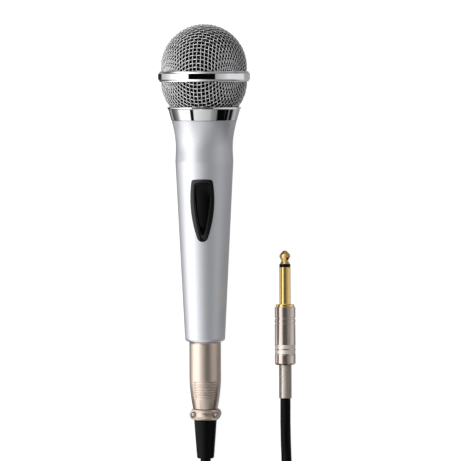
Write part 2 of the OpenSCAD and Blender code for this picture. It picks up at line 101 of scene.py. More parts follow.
distance, lens, lean, twist = 1.5, 202.9, math.radians(2.3), math.radians(0.2)
aim = Vector((16.8, 7.0, 6.0)) * MM
look = Vector((0, math.sin(lean), -math.cos(lean)))
up = Vector((math.sin(twist), math.cos(twist), math.tan(lean)))
right = look.cross(up).normalized()
up = right.cross(look)
camera = bpy.data.objects.new("camera", bpy.data.cameras.new("camera"))
facing = Matrix((right, up, -look)).transposed().to_4x4()
camera.matrix_world = Matrix.Translation(aim - look * distance) @ facing
camera.data.lens = lens
camera.data.clip_start, camera.data.clip_end = 0.05, 20
bpy.context.scene.collection.objects.link(camera)
bpy.context.scene.camera = camera


# ---- Cord ----

CORD_R = 2.9
BOOT_D = 215.5                   # from the band to the boot's end
PITCH = 6.0
TIED_PITCH = PITCH - 0.37        # the layers lie closer where the strap holds them
TURN_RADII = [27.5 + PITCH * k for k in range(5)]
LAYERS = 4
COIL_IN, COIL_OUT = 142, 35      # where the cord joins and leaves the coil, in degrees
SHIFT = 60                       # the sector in which each turn moves over to the next
SWING = 1.8                      # how far a climbing turn swings clear of the one beside it
TIE_AT, TIE_HALF, TIE_T = 263, 7, 1.1
coil_mid = middle("cord_coil") / MM
boot_end = MIC @ Vector((0, 0, -BOOT_D)) / MM
boot_inside = MIC @ Vector((0, 0, 4.5 - BOOT_D)) / MM
mic_route = [
    boot_inside, boot_end, (0, -124.5, 4.4), (0, -128.5, 3.8), (0, -132.5, 3.3), (-0.1, -136.5, 3),
    (-0.6, -140.3, 2.9), (-2, -144.3, 2.9), (-4.2, -148.2, 2.9), (-7, -151.9, 2.9), (-10.4, -156.3, 2.9),
    (-14, -160.9, 2.9), (-17.8, -165.8, 2.9)]
plug_route = [
    (64.5, -168.2, 20.9), (61.3, -163.6, 20.9), (57.8, -158.7, 20.9), (54.9, -154.6, 20.4),
    (52.1, -150.5, 19), (49.3, -145.8, 16.7), (47.3, -140.7, 13.7), (46.2, -135.7, 10.6),
    (45.8, -130.5, 7.7), (45.8, -125, 5.2), (45.7, -119.5, 3.5), (45.5, -113.5, 2.9), (45.4, -107, 2.9),
    (45.3, -101.5, 3.4), (45.3, -96, 4.6), (45.3, -90.5, 5.7), (45.3, -88.1, 5.85), (45.3, -80, 5.85),
    (45.3, -70, 5.85)]


def ease(t):
    """0 to 1 with a smooth start and end."""
    t = min(max(t, 0), 1)
    return t * t * (3 - 2 * t)


def coil_points(steps=60):
    """The coil's turns, inwards and outwards by layer, each moving over to the next within one sector."""
    turns = []
    for layer in range(LAYERS):
        radii = TURN_RADII if layer % 2 else TURN_RADII[::-1]
        turns += [(r, CORD_R + PITCH * layer) for r in radii]
    points = []
    last = (len(turns) - 1) * 360 + (COIL_OUT - COIL_IN) % 360
    count = round(last / 360 * steps)
    for i in range(1, count):
        turned = last * i / count
        k, past = divmod(turned, 360)
        here, following = turns[int(k)], turns[min(int(k) + 1, len(turns) - 1)]
        s = ease((past - (360 - SHIFT)) / SHIFT)
        r, z = here[0] + (following[0] - here[0]) * s, here[1] + (following[1] - here[1]) * s
        if here[0] == following[0]:
            r += (SWING if here[0] > coil_middle_r else -SWING) * math.sin(math.pi * s)
        angle = COIL_IN + turned
        held = ease(1.5 - abs((angle - TIE_AT + 180) % 360 - 180) / (2 * TIE_HALF))
        squeezed = TIE_T + CORD_R + (z - CORD_R) / PITCH * TIED_PITCH
        z += (squeezed - z) * held
        a = math.radians(angle)
        points.append((coil_mid.x + r * math.cos(a), coil_mid.y + r * math.sin(a), z))
    return points


def smooth_line(points, n):
    """A Catmull-Rom line through points, with n steps between each two."""
    p = [Vector(q) for q in points]
    line = []
    for i in range(len(p) - 1):
        a, b, c, d = p[max(i - 1, 0)], p[i], p[i + 1], p[min(i + 2, len(p) - 1)]
        for t in (k / n for k in range(n)):
            line.append(0.5 * (2 * b + (c - a) * t + (2 * a - 5 * b + 4 * c - d) * t * t
                               + (3 * b - a - 3 * c + d) * t ** 3))
    return line + [p[-1]]


coil_middle_r = sum(TURN_RADII) / len(TURN_RADII)
lead, tail_lead = smooth_line(mic_route, 4), smooth_line(plug_route, 4)
route = lead + [Vector(p) for p in coil_points()] + tail_lead


# ---- Mesh tools ----

def piece(name, verts, faces, place, body, slot, stands_for=(), sharp=32):
    """A closed mesh drawn in millimetres, placed, with edges sharper than an angle left crisp."""
    mesh = bpy.data.meshes.new(name)
    at = np.array(verts, float) @ np.array(place.to_3x3()).T + np.array(place.translation)
    mesh.from_pydata(at.tolist(), [], faces)
    mesh.validate()
    obj = bpy.data.objects.new(name, mesh)
    bpy.context.scene.collection.objects.link(obj)
    finish_mesh(obj, sharp)
    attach(obj, body)
    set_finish(obj, slot)
    if stands_for:
        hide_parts(*stands_for)
    return obj


def finish_mesh(obj, sharp):
    """Welds a mesh, turns its faces outwards and shades it smooth between its sharp edges."""
    bm = bmesh.new()
    bm.from_mesh(obj.data)
    bmesh.ops.remove_doubles(bm, verts=bm.verts, dist=1e-7)
    bmesh.ops.recalc_face_normals(bm, faces=bm.faces)
    limit = math.radians(sharp)
    for face in bm.faces:
        face.smooth = True
    for edge in bm.edges:
        edge.smooth = edge.calc_face_angle(0) < limit
    bm.to_mesh(obj.data)
    bm.free()


def between(a, b, n):
    """n even steps from a towards b, without b itself."""
    return [a + (b - a) * i / n for i in range(n)]


def rounded(corners, steps=4):
    """An outline whose corners (r, z, radius) are rounded. A corner without a radius stays sharp.

    A point just beside each arc keeps the straights flat in smooth shading.
    """
    points = []
    n = len(corners)
    for i, corner in enumerate(corners):
        b = Vector(corner[:2])
        if len(corner) < 3 or not corner[2]:
            points.append(tuple(b))
            continue
        a, c = Vector(corners[i - 1][:2]) - b, Vector(corners[(i + 1) % n][:2]) - b
        half = a.angle(c) / 2
        reach = min(corner[2] / math.tan(half), 0.48 * a.length, 0.48 * c.length)
        start, end = b + a.normalized() * reach, b + c.normalized() * reach
        beside = 0.06
        if a.length - 2 * reach > 4 * beside:
            points.append(tuple(start + a.normalized() * beside))
        for t in (k / steps for k in range(steps + 1)):
            points.append(tuple(start * (1 - t) ** 2 + 2 * b * t * (1 - t) + end * t * t))
        if c.length - 2 * reach > 4 * beside:
            points.append(tuple(end + c.normalized() * beside))
    return points


def lathe(outline, segments=160, shape=None):
    """Vertices and faces of an outline (r, z) turned about z.

    shape(angle, r, z) may give a point its own radius.
    """
    verts, rings, faces = [], [], []
    for r, z in outline:
        if r < 1e-6:
            rings.append([len(verts)] * segments)
            verts.append((0, 0, z))
            continue
        rings.append(list(range(len(verts), len(verts) + segments)))
        for k in range(segments):
            a = 2 * math.pi * k / segments
            own = shape(a, r, z) if shape else r
            verts.append((own * math.cos(a), own * math.sin(a), z))
    pairs = list(zip(rings, rings[1:] + rings[:1]))
    if outline[0][0] < 1e-6 and outline[-1][0] < 1e-6:
        pairs.pop()
    for low, high in pairs:
        for k in range(segments):
            j = (k + 1) % segments
            loop = [low[k], low[j], high[j], high[k]]
            face = [v for i, v in enumerate(loop) if v != loop[i - 1]]
            if len(face) > 2:
                faces.append(face)
    return verts, faces


def rings_to_mesh(rings, close_start=True, close_end=True):
    """Joins rings of as many points each. Fans about their middles close the first and the last."""
    n = len(rings[0])
    verts = [tuple(p) for ring in rings for p in ring]
    faces = []
    for i in range(len(rings) - 1):
        for k in range(n):
            j = (k + 1) % n
            faces.append([i * n + k, i * n + j, (i + 1) * n + j, (i + 1) * n + k])
    for wanted, first in ((close_start, 0), (close_end, (len(rings) - 1) * n)):
        if wanted:
            centre = sum((Vector(verts[first + k]) for k in range(n)), Vector()) / n
            verts.append(tuple(centre))
            faces += [[first + k, first + (k + 1) % n, len(verts) - 1] for k in range(n)]
    return verts, faces


def joined(*meshes):
    verts, faces = [], []
    for more_verts, more_faces in meshes:
        faces += [[v + len(verts) for v in face] for face in more_faces]
        verts += list(more_verts)
    return verts, faces


def tube(line, radius, sides=8, normals=None):
    """A round tube along a line of points, with flat ends. normals keep its sides from twisting."""
    line = [Vector(p) for p in line]
    rings = []
    for i, p in enumerate(line):
        along = (line[min(i + 1, len(line) - 1)] - line[max(i - 1, 0)]).normalized()
        out = Vector(normals[i]) if normals is not None else Vector((0, 0, 1))
        side = along.cross(out).normalized()
        out = side.cross(along)
        rings.append([p + radius * (math.cos(a) * side + math.sin(a) * out)
                      for a in (2 * math.pi * k / sides for k in range(sides))])
    return rings_to_mesh(rings)


def block(low, high):
    xs, ys, zs = zip(low, high)
    verts = [(x, y, z) for x in xs for y in ys for z in zs]
    faces = [[0, 1, 3, 2], [4, 6, 7, 5], [0, 4, 5, 1], [2, 3, 7, 6], [0, 2, 6, 4], [1, 5, 7, 3]]
    return verts, faces


def moved(mesh, matrix):
    verts, faces = mesh
    return [tuple(matrix @ Vector(v)) for v in verts], faces


def cut(obj, cutter, place, sharp=32):
    """Takes a closed mesh drawn in millimetres away from an object."""
    tool = bpy.data.objects.new("cutter", bpy.data.meshes.new("cutter"))
    tool.data.from_pydata([tuple(place @ Vector(v)) for v in cutter[0]], [], cutter[1])
    bpy.context.scene.collection.objects.link(tool)
    finish_mesh(tool, sharp)
    change = obj.modifiers.new("cut", "BOOLEAN")
    change.operation, change.object, change.solver = "DIFFERENCE", tool, "EXACT"
    bpy.context.view_layer.update()
    made = bpy.data.meshes.new_from_object(obj.evaluated_get(bpy.context.evaluated_depsgraph_get()))
    obj.modifiers.clear()
    obj.data = made
    bpy.data.objects.remove(tool)
    finish_mesh(obj, sharp)
    return obj


# ---- Head ----

HEAD_R, UPPER_LIFT, LOWER_DROP = 24.2, 5.3, 2.4
BAND_HALF, BAND_R, BAND_FACE = 2.9, 25.8, 1.7
COLLAR_D, COLLAR_R, NECK_D, NECK_R = 17.1, 20.6, 24.8, 18.3
WIRE_R, WIRE_STEP = 0.22, 2.2
WIRE_STRAY = 0.0016              # how unevenly the crossings lie, as a share of the head's radius
TUCK = 0.5                       # how far the wires reach in under the band


def net(radius, step, reach):
    """Crossings of a square cloth pressed over a sphere: every side of every cell keeps its length."""
    turn = step / radius
    n = int(reach / turn) + 8
    nodes = {}
    for i in range(-n, n + 1):
        if abs(i * turn) < reach + turn:
            nodes[i, 0] = Vector((math.sin(i * turn), 0, math.cos(i * turn)))
            nodes[0, i] = Vector((0, math.sin(i * turn), math.cos(i * turn)))
    for sx in (1, -1):
        for sy in (1, -1):
            for i in range(n):
                for j in range(n):
                    corner = [nodes.get((sx * (i + di), sy * (j + dj)))
                              for di, dj in ((0, 0), (1, 0), (0, 1))]
                    if None in corner:
                        continue
                    p, a, b = corner
                    mirror = a.cross(b)
                    if mirror.length < 0.25 * turn:
                        continue
                    mirror.normalize()
                    q = p - 2 * p.dot(mirror) * mirror
                    if math.acos(max(-1, min(1, q.z))) < reach + turn:
                        nodes[sx * (i + 1), sy * (j + 1)] = q
    return nodes


def woven(radius, low, high, turn_deg, seed):
    """Wires of a plain weave over a sphere about the origin with its pole at +z, kept between two heights."""
    reach = math.acos(low / radius) if abs(low) < radius else math.pi / 2
    nodes = net(radius, WIRE_STEP, reach)
    rng = np.random.default_rng(seed)
    turn = Matrix.Rotation(math.radians(turn_deg), 3, "Z")
    nodes = {k: (turn @ (v + Vector(rng.normal(0, WIRE_STRAY, 3)))).normalized()
             for k, v in sorted(nodes.items())}
    span = max(abs(k) for key in nodes for k in key)
    steps = 4
    parts = []
    for across in (0, 1):
        for i in range(-span, span + 1):
            run = []
            for j in range(-span, span + 2):
                key = (i, j) if across == 0 else (j, i)
                if key in nodes:
                    run.append((nodes[key], 1 if (i + j + across) % 2 else -1))
                    continue
                if len(run) > 1:
                    parts += wire(run, radius, low, high, steps)
                run = []
    return joined(*parts)


def wire(run, radius, low, high, steps):
    """Tubes of one wire through its crossings, over and under in turn, cut at the two heights."""
    line = []
    for (a, way), (b, _) in zip(run, run[1:]):
        for t in (k / steps for k in range(steps)):
            lift = way * math.cos(math.pi * t) * WIRE_R
            line.append(a.lerp(b, t).normalized() * (radius + lift))
    line.append(run[-1][0] * (radius + run[-1][1] * WIRE_R))
    tubes, kept = [], []
    for p in line + [None]:
        if p is not None and low <= p.z <= high:
            kept.append(p)
            continue
        if len(kept) > 2:
            tubes.append(tube(kept, WIRE_R, 8, [q.normalized() for q in kept]))
        kept = []
    return tubes


upper = woven(HEAD_R - 2 * WIRE_R, BAND_HALF - TUCK - UPPER_LIFT, HEAD_R, 85, 3)
lift = Matrix.Translation((0, 0, UPPER_LIFT))
piece("grille_upper_wires", *moved(upper, lift), MIC, "mic_body", "wire_mesh", ["grille_upper"], sharp=60)
lower = woven(HEAD_R + 0.1 - 2 * WIRE_R, BAND_HALF - TUCK - LOWER_DROP, COLLAR_D + 0.8 - LOWER_DROP, -86, 5)
flip = Matrix.Translation((0, 0, -LOWER_DROP)) @ Matrix.Rotation(math.pi, 4, "X")
piece("grille_lower_wires", *moved(lower, flip), MIC, "mic_body", "wire_mesh", ["grille_lower"], sharp=60)

inner = HEAD_R - 1.3
lip, lip_edge = BAND_R - 0.3, BAND_R - 0.75


def lips(way):
    """A hollow moulding from the facet's step out to a thin upright edge."""
    run, bevel = BAND_HALF - 0.4 - BAND_FACE, 0.12
    cove = [(lip - (lip - lip_edge) * math.sin(math.pi / 2 * t), way * (BAND_FACE + run * t))
            for t in between(0, 1, 12)]
    edge = [(lip_edge, way * (BAND_HALF - bevel)), (lip_edge - bevel, way * BAND_HALF)]
    return cove + edge + [(inner, way * BAND_HALF)]


face = rounded([(lip, -BAND_FACE), (BAND_R, -BAND_FACE, 0.1), (BAND_R, BAND_FACE, 0.1), (lip, BAND_FACE)])
piece("grille_band_ring", *lathe(lips(-1)[::-1] + face + lips(1), 320), MIC, "mic_body", "chrome_trim",
      ["grille_band"], sharp=20)

thread_r, thread_l, thread_t = 15, 6.4, 1.2
mouth_r, shelf_r = 19.6, 16.5
collar = rounded([
    (mouth_r, -COLLAR_D, 0.1), (COLLAR_R, -COLLAR_D, 0.18), (COLLAR_R, -COLLAR_D - 0.9, 0.15),
    (COLLAR_R - 0.45, -COLLAR_D - 1.2, 0.1), (NECK_R + 0.15, -NECK_D + 0.35, 0.1),
    (NECK_R - 0.25, -NECK_D + 0.05), (NECK_R - 0.25, -NECK_D), (thread_r, -NECK_D),
    (thread_r, -NECK_D - thread_l), (thread_r - thread_t, -NECK_D - thread_l),
    (thread_r - thread_t, -NECK_D + 1.2), (shelf_r, -NECK_D + 1.2), (shelf_r, -COLLAR_D - 1),
    (mouth_r, -COLLAR_D - 1)])
piece("grille_collar_ring", *lathe(collar, 320), MIC, "mic_body", "chrome_trim", ["grille_collar"], sharp=20)


# ---- Handle and switch ----

WAIST_D, WAIST_R, CREASE_D, CREASE_R = 39.5, 16.0, 47.5, 16.3
TAIL_R, TAIL_D, TAIL_EDGE = 11.3, 149.1, 1.8
SWITCH_D, BEZEL_W, SLIDER_W, TRAVEL = 68.2, 13.5, 9.2, 2.5
NOSE_R, SOCKET_R, INSERT_D, NOSE_D = 7.95, 8.01, 130.6, 131.6
TAPER = math.atan((CREASE_R - TAIL_R) / (TAIL_D - TAIL_EDGE - CREASE_D))
FACE_R = CREASE_R - (SWITCH_D - CREASE_D) * math.tan(TAPER)
SWITCH = MIC @ Matrix.Translation((0, -FACE_R, -SWITCH_D)) @ Matrix.Rotation(TAPER, 4, "X")


def neck(d):
    """Radius of the handle from its top to its waist."""
    return WAIST_R + (NECK_R - WAIST_R) * ((WAIST_D - d) / (WAIST_D - NECK_D)) ** 1.8


def swell(d):
    """Radius from the waist's throat into a straight flare that ends at the crease."""
    t, bend = (d - WAIST_D) / (CREASE_D - WAIST_D), 0.4
    rise = t * t / (2 * bend) if t < bend else t - bend / 2
    return WAIST_R + (CREASE_R - WAIST_R) * rise / (1 - bend / 2)


def pod_half(p, grow, stretch, n=6):
    """Half an outline of a teardrop: w, bend, power, peak, top, foot and corner as in the CAD part."""
    w0, bend, power, peak, top, foot, corner = p

    def side(z):
        return w0 - bend * abs(z - peak) ** power

    w, foot_w, slope = side(top - corner), side(foot), bend * power * abs(foot - peak) ** (power - 1)
    end_r, end_z, lean_a = foot_w * math.sqrt(1 + slope ** 2), foot + slope * foot_w, math.atan(slope)
    half = [((w - corner) * t, top + 0.25 * (1 - t * t) + grow) for t in between(0, 1, n)]
    half += [(w - corner + (corner + grow) * math.cos(a), top - corner + (corner + grow) * math.sin(a))
             for a in between(math.pi / 2, 0, n)]
    half += [(side(z) + grow, z) for z in between(top - corner, peak, n)]
    half += [(side(z) + grow, z - stretch) for z in between(peak, foot, 2 * n)]
    half += [((end_r + grow) * math.cos(a), end_z - stretch + (end_r + grow) * math.sin(a))
             for a in between(-lean_a, -math.pi / 2, n)]
    return half + [(0, end_z - stretch - end_r - grow)]


def pod(p, grow=0, stretch=0):
    """The whole teardrop, grown all round by grow and longer at its foot by stretch."""
    half = pod_half(p, grow, stretch)
    return half + [(-x, z) for x, z in half[-2:0:-1]]


BEZEL = (BEZEL_W / 2, 0.0078, 2, 0, 10.8, -21.8, 1.6)
SLIDER = (SLIDER_W / 2, 0.0242, 1.6, 3, 9, -19.5, 1.9)
PAD = (3.5, 0.02, 1.5, 0, 2.2, -13, 1.4)


def on_face(outline, height):
    """A ring on the handle's curved face, raised by a height or by height(z). Below zero it is sunk."""
    ring = []
    for x, z in outline:
        r = FACE_R + z * math.tan(TAPER)
        raised = height(z) if callable(height) else height
        ring.append((x, r - math.sqrt(r * r - x * x) - raised, z))
    return ring


def at_depth(outline, depth):
    """A flat ring."""
    return [(x, depth, z) for x, z in outline]


def mix(a, b, t):
    """The outline a share t of the way from outline a to outline b."""
    return [(xa + (xb - xa) * t, za + (zb - za) * t) for (xa, za), (xb, zb) in zip(a, b)]


outside = [(neck(d), -d) for d in between(NECK_D, WAIST_D, 40)]
outside += [(swell(d), -d) for d in between(WAIST_D, CREASE_D, 24)]
foot_d = TAIL_D - TAIL_EDGE
outside += [(CREASE_R - (d - CREASE_D) * math.tan(TAPER), -d) for d in between(CREASE_D, foot_d, 100)]
outside += [(TAIL_R - TAIL_EDGE * (1 - math.cos(a)), TAIL_EDGE * (1 - math.sin(a)) - TAIL_D)
            for a in between(0, math.pi / 2, 12)]
inside = [
    (TAIL_R - TAIL_EDGE, -TAIL_D), (SOCKET_R + 0.3, -TAIL_D), (SOCKET_R, -TAIL_D + 0.3),
    (SOCKET_R, -INSERT_D + 6), (7, -INSERT_D + 6), (7, -INSERT_D + 8.5), (9.2, -INSERT_D + 10.5),
    (13.8, -52), (13.8, -36), (thread_r, -33), (thread_r, -NECK_D)]
handle = piece("handle_shell", *lathe(outside + inside, 256), MIC, "mic_body", "silver_paint", ["handle"],
               sharp=25)
window = rings_to_mesh([at_depth(pod(BEZEL, 0.03), y) for y in (-3, 6)])
cut(handle, window, SWITCH, sharp=25)
screw_hole = moved(lathe([(0, 7), (1.25, 7), (1.25, 16), (0, 16)], 32),
                   Matrix.Translation((0, 0, -INSERT_D + 3)) @ Matrix.Rotation(-math.pi / 2, 4, "X"))
cut(handle, screw_hole, MIC, sharp=25)

# The bezel: a broad strip that follows the handle's face, a little lower at the slider.
BEZEL_RIM, BEZEL_INNER, BEZEL_EDGE = 0.36, 0.28, 0.12
BEZEL_BACK, BEZEL_FLOOR, RECESS_GAP, RECESS_EDGE = 3.7, 2.9, 0.1, 0.2
recess = pod(SLIDER, RECESS_GAP, TRAVEL)
rim_inner = pod(SLIDER, RECESS_GAP + RECESS_EDGE, TRAVEL)
quarter = [math.pi / 8 * k for k in (1, 2, 3)]
bezel_rings = [at_depth(pod(BEZEL), BEZEL_BACK), on_face(pod(BEZEL), -0.6)]
bezel_rings += [on_face(pod(BEZEL), BEZEL_RIM - 0.16)]
bezel_rings += [on_face(pod(BEZEL, -BEZEL_EDGE * (1 - math.cos(a))),
                        BEZEL_RIM - BEZEL_EDGE * (1 - math.sin(a))) for a in quarter]
bezel_rings += [on_face(mix(pod(BEZEL, -BEZEL_EDGE), rim_inner, t), BEZEL_RIM + (BEZEL_INNER - BEZEL_RIM) * t)
                for t in (k / 8 for k in range(9))]
bezel_rings += [on_face(pod(SLIDER, RECESS_GAP + RECESS_EDGE * (1 - math.sin(a)), TRAVEL),
                        BEZEL_INNER - RECESS_EDGE * (1 - math.cos(a))) for a in quarter]
bezel_rings += [on_face(recess, BEZEL_INNER - 0.3), at_depth(recess, BEZEL_FLOOR)]
piece("switch_bezel_ring", *rings_to_mesh(bezel_rings), SWITCH, "mic_body", "gloss_black", ["switch_bezel"],
      sharp=30)

# The slider: a rounded crest, a steep wall that fades out at its top, a hollow, and a slightly raised pad.
CREST, CREST_EDGE, WALL_W, WALL_H = 0.55, 0.36, 0.5, 0.85
HOLLOW, PAD_FACE, PAD_EDGE = -0.75, -0.62, 0.2      # heights of the hollow and of the pad, and the pad's step
DOT_R, DOT_H, DOT_PITCH, DOT_ROW = 0.24, 0.16, 0.95, 0.82


def wall_foot(z):
    """Height of the wall's foot, which rises towards the slider's top."""
    return CREST - WALL_H * (1 - 0.75 * ease((z - 4.5) / 4))


def wall_height(t):
    """Heights of a ring that lies a share t of the way down the wall."""
    return lambda z: CREST + (wall_foot(z) - CREST) * t


def hollow_height(t):
    """Heights of a ring that lies a share t of the way from the wall's foot to the pad."""
    return lambda z: wall_foot(z) + (HOLLOW - wall_foot(z)) * ease(t)


def thumb_dots():
    """Rows of small domes on the pad, clear of its edge."""
    w0, bend, power, peak, top = PAD[:5]
    dome = lathe([(DOT_R * math.cos(a), DOT_H * math.sin(a)) for a in (-0.6, 0, 0.5, 1.0)] + [(0, DOT_H)], 10)
    dots = []
    for row in range(-13, 3):
        for column in range(-3, 4):
            x, z = (column + 0.5 * (row % 2)) * DOT_PITCH, row * DOT_ROW
            if abs(x) < w0 - bend * abs(z - peak) ** power - 0.55 and z < top - 0.5:
                foot = Matrix.Translation(on_face([(x, z)], PAD_FACE)[0])
                dots.append(moved(dome, foot @ Matrix.Rotation(math.pi / 2, 4, "X")))
    return dots


crest, foot_ring = pod(SLIDER, -CREST_EDGE), pod(SLIDER, -CREST_EDGE - WALL_W)
slider_rings = [at_depth(pod(SLIDER), 2.8), on_face(pod(SLIDER), -0.5)]
slider_rings += [on_face(pod(SLIDER), CREST - CREST_EDGE)]
slider_rings += [on_face(pod(SLIDER, -CREST_EDGE * (1 - math.cos(a))), CREST - CREST_EDGE * (1 - math.sin(a)))
                 for a in (math.pi / 10 * k for k in range(1, 6))]
slider_rings += [on_face(mix(crest, foot_ring, t), wall_height(t)) for t in (k / 8 for k in range(1, 9))]
slider_rings += [on_face(mix(foot_ring, pod(PAD), t), hollow_height(t))
                 for t in (k / 12 for k in range(1, 13))]
pad_middle = [(0, z * 0.85 - 0.7) for x, z in pod(PAD, -PAD_EDGE)]
slider_rings += [on_face(mix(pod(PAD, -PAD_EDGE), pad_middle, t / 6), PAD_FACE) for t in range(7)]
piece("thumb_slider_cap", *joined(rings_to_mesh(slider_rings, True, False), *thumb_dots()), SWITCH,
      "thumb_switch", "slider_black", ["thumb_slider"], sharp=45)


# ---- Cord connector ----

SHELL_R, SHELL_D, CLAMP_D, CLAMP_L, STRAIGHT_D, SHELL_END_R = 8.9, 149.25, 187.0, 6.8, 170.0, 7.0
EAR_X, EAR_R, CLAMP_SCREW_X, BORE_R = 5.75, 3.05, 6.3, 4.6
BOOT_R, BOOT_END_R = 6.4, 4.8
GROOVES = [-171.9 - 1.47 * i for i in range(7)]
GROOVE_HALF = math.radians(47)
GROOVE_H, GROOVE_DEPTH = 0.42, 0.32


def shell_at(z):
    """Radius of the connector's body, which narrows towards the clamp."""
    return SHELL_R - (SHELL_R - SHELL_END_R) * (max(-z - STRAIGHT_D, 0) / (CLAMP_D - STRAIGHT_D)) ** 1.7


def grooved(angle, r, z):
    """The grip grooves, cut across the front only, with soft ends."""
    if r < SHELL_END_R:
        return r
    off = abs((angle + math.pi / 2 + math.pi) % (2 * math.pi) - math.pi)
    fade = ease((GROOVE_HALF - off) / 0.1)
    depth = max(0.0, max(GROOVE_DEPTH * (1 - ((z - g) / GROOVE_H) ** 2) for g in GROOVES))
    return r - depth * fade


nose = [(NOSE_R - 0.4, -NOSE_D), (NOSE_R, -NOSE_D - 0.4), (NOSE_R, -SHELL_D), (SHELL_R - 0.15, -SHELL_D)]
outside = [(SHELL_R, -SHELL_D - 0.25)]
for top, foot, steps in ((-150.5, -169.6, 12), (-169.6, -182.2, 126), (-182.2, -186.7, 12)):
    outside += [(shell_at(z), z) for z in between(top, foot, steps)]
inside = [(SHELL_END_R, -CLAMP_D), (BORE_R, -CLAMP_D), (BORE_R, -178), (6.6, -172), (7.2, -166),
          (7.2, -NOSE_D)]
shell = piece("plug_shell_body", *lathe(rounded(nose) + outside + inside, 224, grooved), MIC, "cord_set",
              "satin_nickel", ["plug_shell"], sharp=40)
latch_window = block((-2.05, 6, -SHELL_D - 8.05), (2.05, 12, -SHELL_D - 2.95))
cut(shell, latch_window, MIC, sharp=40)


def clamp_half(front, back, arch_r):
    """One half of the cord clamp: a stadium with round ears, arched over the cord.

    y runs from front to back. A front behind its back makes the half on the far side.
    """
    z0 = -CLAMP_D - CLAMP_L / 2 - 0.05
    arch_w, crown_w, crown_h, broader, edge = 4.2, 4.6, 0.9, 0.09, 0.7
    rim = []
    for x0, start in ((EAR_X, -90), (-EAR_X, 90)):
        rim += [(x0 + EAR_R * math.cos(math.radians(a)), z0 + EAR_R * math.sin(math.radians(a)))
                for a in range(start, start + 181, 10)]
        rim += [(x0 * (1 - t / 6), z0 + EAR_R * (1 if x0 > 0 else -1)) for t in range(1, 12)]

    ears = abs(front) - 0.35

    def depth(x):
        return -(ears + (arch_r - ears) * math.exp(-((x / arch_w) ** 2)))

    def crown(x):
        return crown_h * math.exp(-((x / crown_w) ** 2))

    sign = 1 if front < back else -1
    outline = [(x, z0 + (z - z0) * (1 + broader * (1 - ease(abs(x) / 6)))) for x, z in rim]
    rings = [[(x, back, z) for x, z in outline]]
    for a in (math.pi / 10 * k for k in range(6)):
        inset, drop = edge * (1 - math.cos(a)), edge * (1 - math.sin(a))
        across, along = 1 - inset / (EAR_X + EAR_R), 1 - inset / EAR_R
        rings.append([(x * across, sign * (depth(x) + drop), z0 + (z - z0) * along) for x, z in outline])
    last = rings[-1]
    flat = [(x, z) for x, _, z in last]
    for t in (k / 12 for k in range(1, 13)):
        ring = mix(flat, [(x, z0) for x, _ in flat], t)
        rings.append([(x, sign * (depth(x) - crown(x) * math.sqrt(1 - (1 - t) ** 2)), z) for x, z in ring])
    return rings_to_mesh(rings, True, False)


saddle = piece("clamp_saddle_cap", *clamp_half(-5.2, -0.05, 5.75), MIC, "cord_set", "satin_nickel",
               ["clamp_saddle"], sharp=40)
piece("clamp_back", *clamp_half(5.2, 0.05, 5.65), MIC, "cord_set", "satin_nickel", sharp=40)

# The clamp's screws: domed heads with a cross recess, each in a round well.
screw_profile = rounded([(0, 4), (0.9, 4), (0.9, -3.5), (1.3, -3.5), (1.3, -4.45, 0.5), (0.5, -4.95, 0.8),
                         (0, -4.95)])
screws = []
for x, turn in ((-CLAMP_SCREW_X, 0.5), (CLAMP_SCREW_X, 1.1)):
    at = Matrix.Translation((x, 0, -CLAMP_D - CLAMP_L / 2)) @ Matrix.Rotation(-math.pi / 2, 4, "X")
    well = lathe([(0, -9), (1.75, -9), (1.75, -3.5), (0, -3.5)], 40)
    cut(saddle, moved(well, at), MIC, sharp=40)
    screws.append((moved(lathe(screw_profile, 48), at), at @ Matrix.Rotation(turn, 4, "Z")))
heads = piece("clamp_screws_turned", *joined(*(mesh for mesh, _ in screws)), MIC, "cord_set", "bright_nickel",
              ["clamp_screws"], sharp=40)
for _, at in screws:
    for low, high in (((-0.8, -0.17, -6), (0.8, 0.17, -4.4)), ((-0.17, -0.8, -6), (0.17, 0.8, -4.4))):
        cut(heads, moved(block(low, high), at), MIC, sharp=40)

boot_start, cord_stop = -CLAMP_D - CLAMP_L, -BOOT_D + 3
boot = rounded([
    (CORD_R, -BOOT_D, 0.2), (BOOT_END_R, -BOOT_D, 0.9), (BOOT_R - 0.55, boot_start - 8, 6),
    (BOOT_R, boot_start, 0.3), (BORE_R, boot_start), (BORE_R, -180), (0, -180), (0, cord_stop),
    (CORD_R, cord_stop)], 8)
piece("cable_boot_sleeve", *lathe(boot, 128), MIC, "cord_set", "boot_rubber", ["cable_boot"], sharp=50)


# ---- Phone plug ----

SLEEVE_R, PLUG_L, BARREL_R, BARREL_L, SPRING_L = 3.175, 30.5, 5.85, 32.8, 18.8
FLANGE_R, STEM_R, RING_FROM, RING_TO = BARREL_R - 0.65, 1.6, 21, 22.8
BARREL_END = -FLANGE_T - BARREL_L
BARREL_GROOVES = [(-7.6, -8.4), (-10.5, -11.3)]
GROOVED_R = BARREL_R - 0.35
KNURLS = [(-25.15, -23.15), (-28.1, -26.0)]

